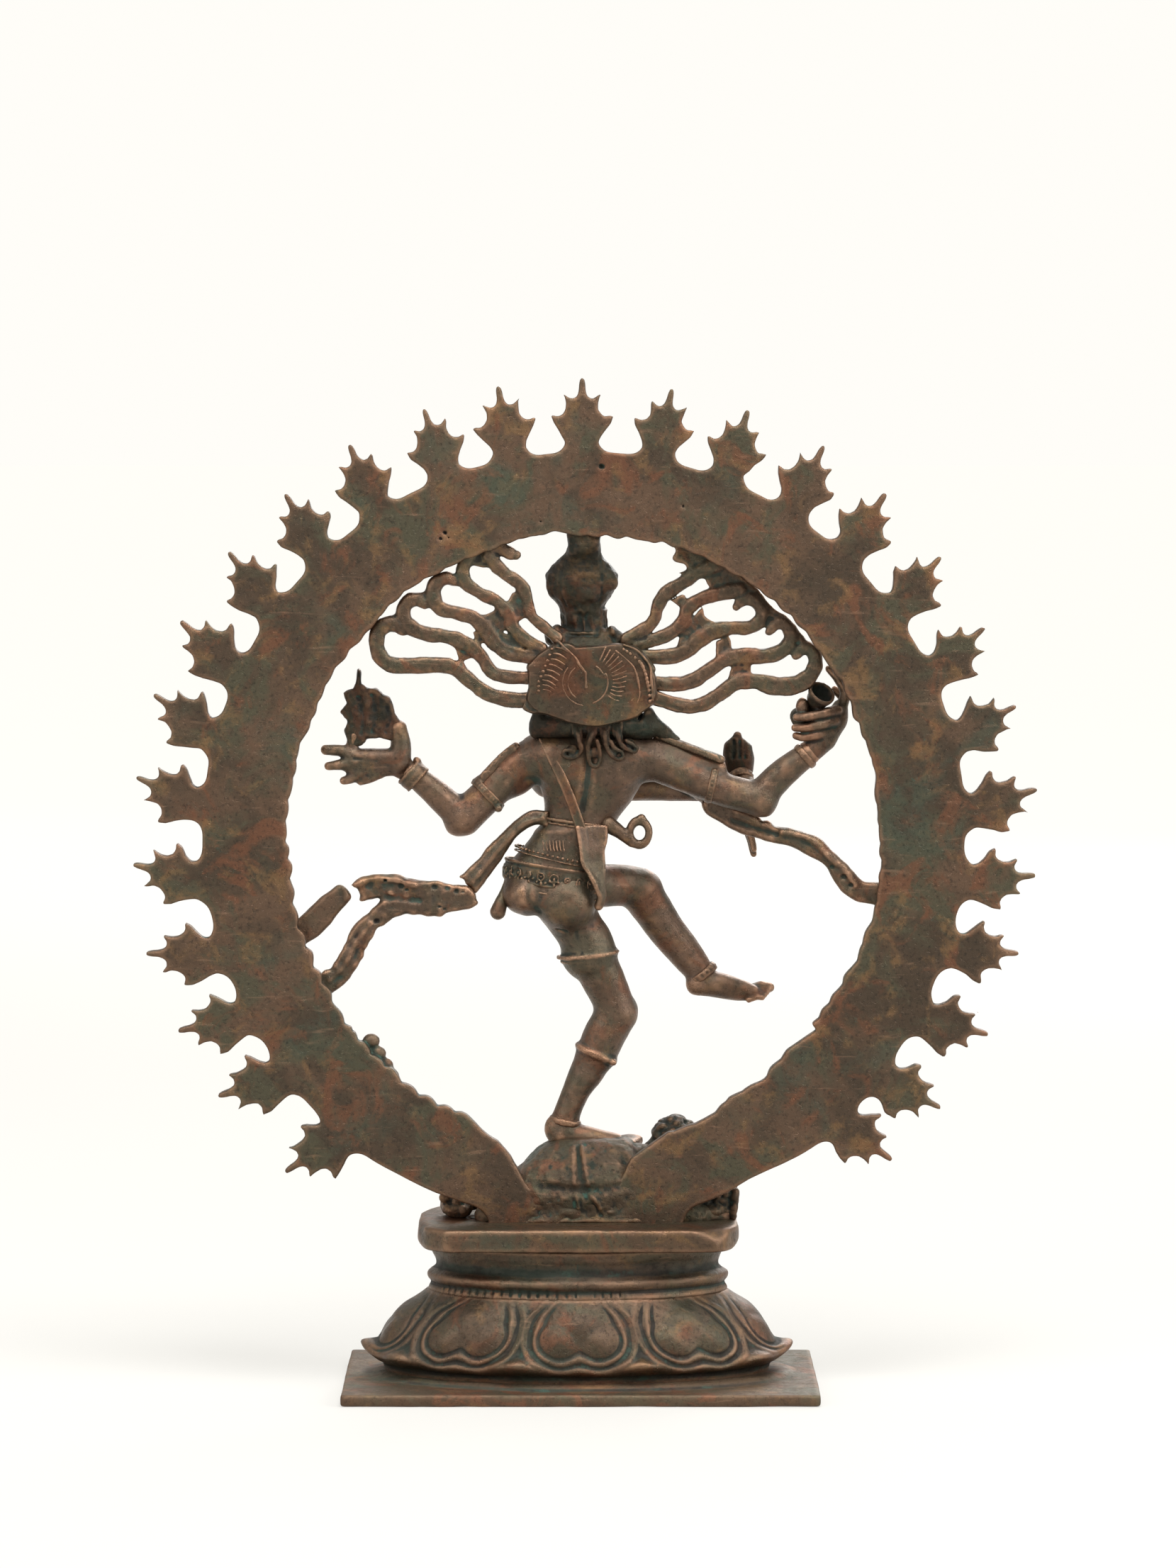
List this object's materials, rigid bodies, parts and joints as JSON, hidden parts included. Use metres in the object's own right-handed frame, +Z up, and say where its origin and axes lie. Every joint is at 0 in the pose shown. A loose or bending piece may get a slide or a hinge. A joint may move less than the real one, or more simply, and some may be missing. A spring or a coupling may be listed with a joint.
{
  "type": "nataraja statue",
  "caption": "Small cast brass dancing figure with spread hair, standing on a dwarf inside a ring of flames, on an oval lotus pedestal over a thin oblong base slab.",
  "frame": {"origin": "centre of the base slab's underside, where the statue rests", "axes": "+Z up along the statue's height; +Y the way the figure faces, out of the plane of the ring of flames; +X towards the figure's own right hand. The reference view looks along +Y, at the back of the statue."},
  "size_m": [0.201, 0.058, 0.2262],
  "materials": {
    "cast_brass": "brown aged patina, satin, rubbed bright on the high places",
    "ornament_metal": "brown aged patina with bright worn edges and dark green recesses",
    "hair_metal": "dark brown patina with green-black recesses, satin",
    "arch_metal": "dark brown patina, satin, lightly pitted",
    "rough_metal": "rough dark patina with green corrosion, pitted",
    "lotus_metal": "brown patina with dark green grooves, satin",
    "base_plates": "brown patina, satin, worn coppery along the edges"
  },
  "bodies": {
    "root": {"base_slab": "base_plates", "lotus_pedestal": "lotus_metal", "pedestal_neck": "lotus_metal", "top_plate": "base_plates", "pedestal_rivets": "rough_metal", "rocky_mound": "rough_metal", "braze_seam": "rough_metal", "dwarf_body": "rough_metal", "dwarf_head": "rough_metal", "dwarf_legs": "rough_metal", "dwarf_arms": "rough_metal", "cobra": "rough_metal", "arch_ring": "arch_metal", "arch_flames": "arch_metal", "arch_rims": "arch_metal", "arch_tenons": "arch_metal", "crown_strut": "arch_metal", "hips": "cast_brass", "torso": "cast_brass", "neck": "cast_brass", "head": "cast_brass", "crown": "hair_metal", "ear_rings": "ornament_metal", "hair_disc": "hair_metal", "nape_curls": "hair_metal", "hair_fan_left": "hair_metal", "hair_fan_right": "hair_metal", "standing_leg": "cast_brass", "standing_foot": "cast_brass", "raised_leg": "cast_brass", "raised_foot": "cast_brass", "left_rear_arm": "cast_brass", "left_rear_hand": "cast_brass", "fire_flame": "ornament_metal", "right_rear_arm": "cast_brass", "right_rear_hand": "cast_brass", "drum": "ornament_metal", "left_front_arm": "cast_brass", "left_front_hand": "cast_brass", "right_front_arm": "cast_brass", "right_front_hand": "cast_brass", "necklace": "ornament_metal", "sacred_thread": "ornament_metal", "waist_belt": "ornament_metal", "hip_belt": "ornament_metal", "back_drape": "ornament_metal", "armlets": "ornament_metal", "bracelets": "ornament_metal", "leg_bands": "ornament_metal", "anklets": "ornament_metal", "waist_loop": "ornament_metal", "waist_ribbon": "ornament_metal", "forked_sash": "ornament_metal", "sash_stub": "ornament_metal", "shawl_band": "ornament_metal", "sash_tail": "ornament_metal"}
  },
  "joints": []
}
